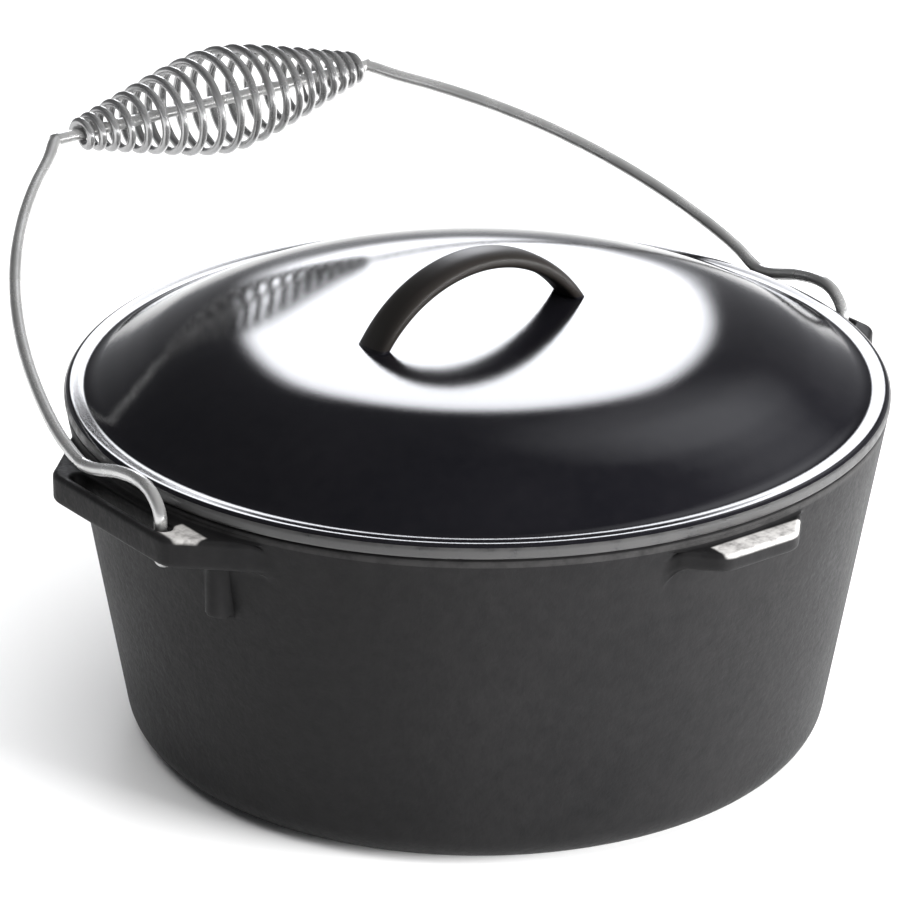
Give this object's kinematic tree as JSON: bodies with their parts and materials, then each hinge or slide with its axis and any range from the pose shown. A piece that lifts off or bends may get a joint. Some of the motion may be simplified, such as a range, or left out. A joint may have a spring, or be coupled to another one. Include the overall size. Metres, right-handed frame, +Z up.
{
  "type": "dutch oven",
  "caption": "Round black cast iron dutch oven with a domed lift-off lid with a loop handle, side ears, and a swinging steel wire bail with a sprung wire grip.",
  "frame": {"origin": "centre of the flat base, on the pot's axis", "axes": "+Z up the pot's axis; +X through the bail ears; the bail leans back over +Y at rest and the assist tab is on -Y"},
  "size_m": [0.2944, 0.3169, 0.1926],
  "materials": {
    "pot_iron": "seasoned black cast iron, fine pebbled sand-cast skin, dull satin",
    "lid_iron": "seasoned black cast iron, fine grain, satin gloss",
    "bail_wire": "bright drawn steel wire",
    "grip_wire": "bright plated spring wire"
  },
  "bodies": {
    "pot": {"pot": "pot_iron"},
    "lid": {"lid": "lid_iron"},
    "bail": {"bail": "bail_wire"},
    "coil_grip": {"coil_grip": "grip_wire"}
  },
  "joints": [
    {"name": "lid_lift", "type": "slide", "parent": "pot", "child": "lid", "axis": [0, 0, 1], "range_m": [0, 0.2]},
    {"name": "bail_swing", "type": "hinge", "parent": "pot", "child": "bail", "pos_m": [0, 0, 0.1083], "axis": [1, 0, 0], "range_deg": [0, 133]},
    {"name": "grip_spin", "type": "hinge", "parent": "bail", "child": "coil_grip", "pos_m": [0, 0.152, 0.17376], "axis": [1, 0, 0], "continuous": true}
  ]
}
